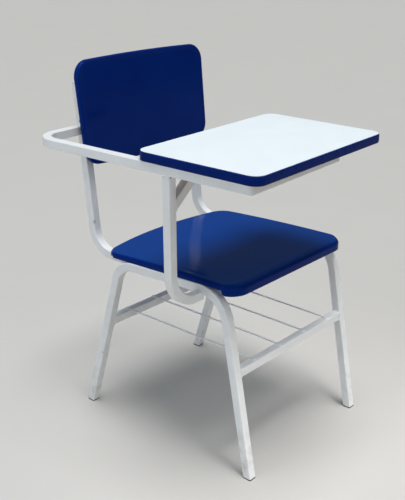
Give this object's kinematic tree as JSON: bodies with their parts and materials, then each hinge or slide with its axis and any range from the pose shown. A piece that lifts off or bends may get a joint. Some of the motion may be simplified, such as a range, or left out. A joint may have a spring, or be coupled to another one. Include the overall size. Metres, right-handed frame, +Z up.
{
  "type": "tablet arm chair",
  "caption": "Tablet arm chair: bent square steel tube frame, moulded seat and backrest, arm tube and upright carrying a fixed writing tablet, and a wire book rack under the seat.",
  "frame": {"origin": "on the floor under the middle of the chair's bounding box", "axes": "+Z up, -Y the way the sitter faces, -X the side of the arm and tablet (the sitter's right)"},
  "size_m": [0.5414, 0.63, 0.8592],
  "materials": {
    "frame_paint": "white powder coat, satin",
    "shell_plastic": "moulded navy blue plastic, glossy",
    "tablet_top": "white laminate",
    "tablet_edge": "navy blue edge band",
    "tablet_core": "pressed wood board",
    "foot_plastic": "dark grey plug",
    "cap_plastic": "white plug",
    "screw_steel": "zinc plated"
  },
  "bodies": {
    "root": {"arm_tube": "frame_paint", "arm_upright": "frame_paint", "back_screws": "screw_steel", "back_shell": "shell_plastic", "brace_plate": "frame_paint", "front_rail_plug": "cap_plastic", "front_stretcher": "frame_paint", "left_back_rail": "frame_paint", "left_front_foot": "foot_plastic", "left_leg_frame": "frame_paint", "left_post_cap": "cap_plastic", "left_rail_plug": "foot_plastic", "left_rear_foot": "foot_plastic", "rack_wire_1": "frame_paint", "rack_wire_2": "frame_paint", "rack_wire_3": "frame_paint", "rack_wire_4": "frame_paint", "rear_stretcher": "frame_paint", "right_back_rail": "frame_paint", "right_front_foot": "foot_plastic", "right_leg_frame": "frame_paint", "right_post_cap": "cap_plastic", "right_rail_plug": "foot_plastic", "right_rear_foot": "foot_plastic", "seat_screws": "screw_steel", "seat_shell": "shell_plastic", "tablet_board": "tablet_core", "tablet_brace": "frame_paint", "tablet_edge_band": "tablet_edge", "tablet_front_rail": "frame_paint", "tablet_laminate": "tablet_top", "tablet_screws": "screw_steel"}
  },
  "joints": []
}
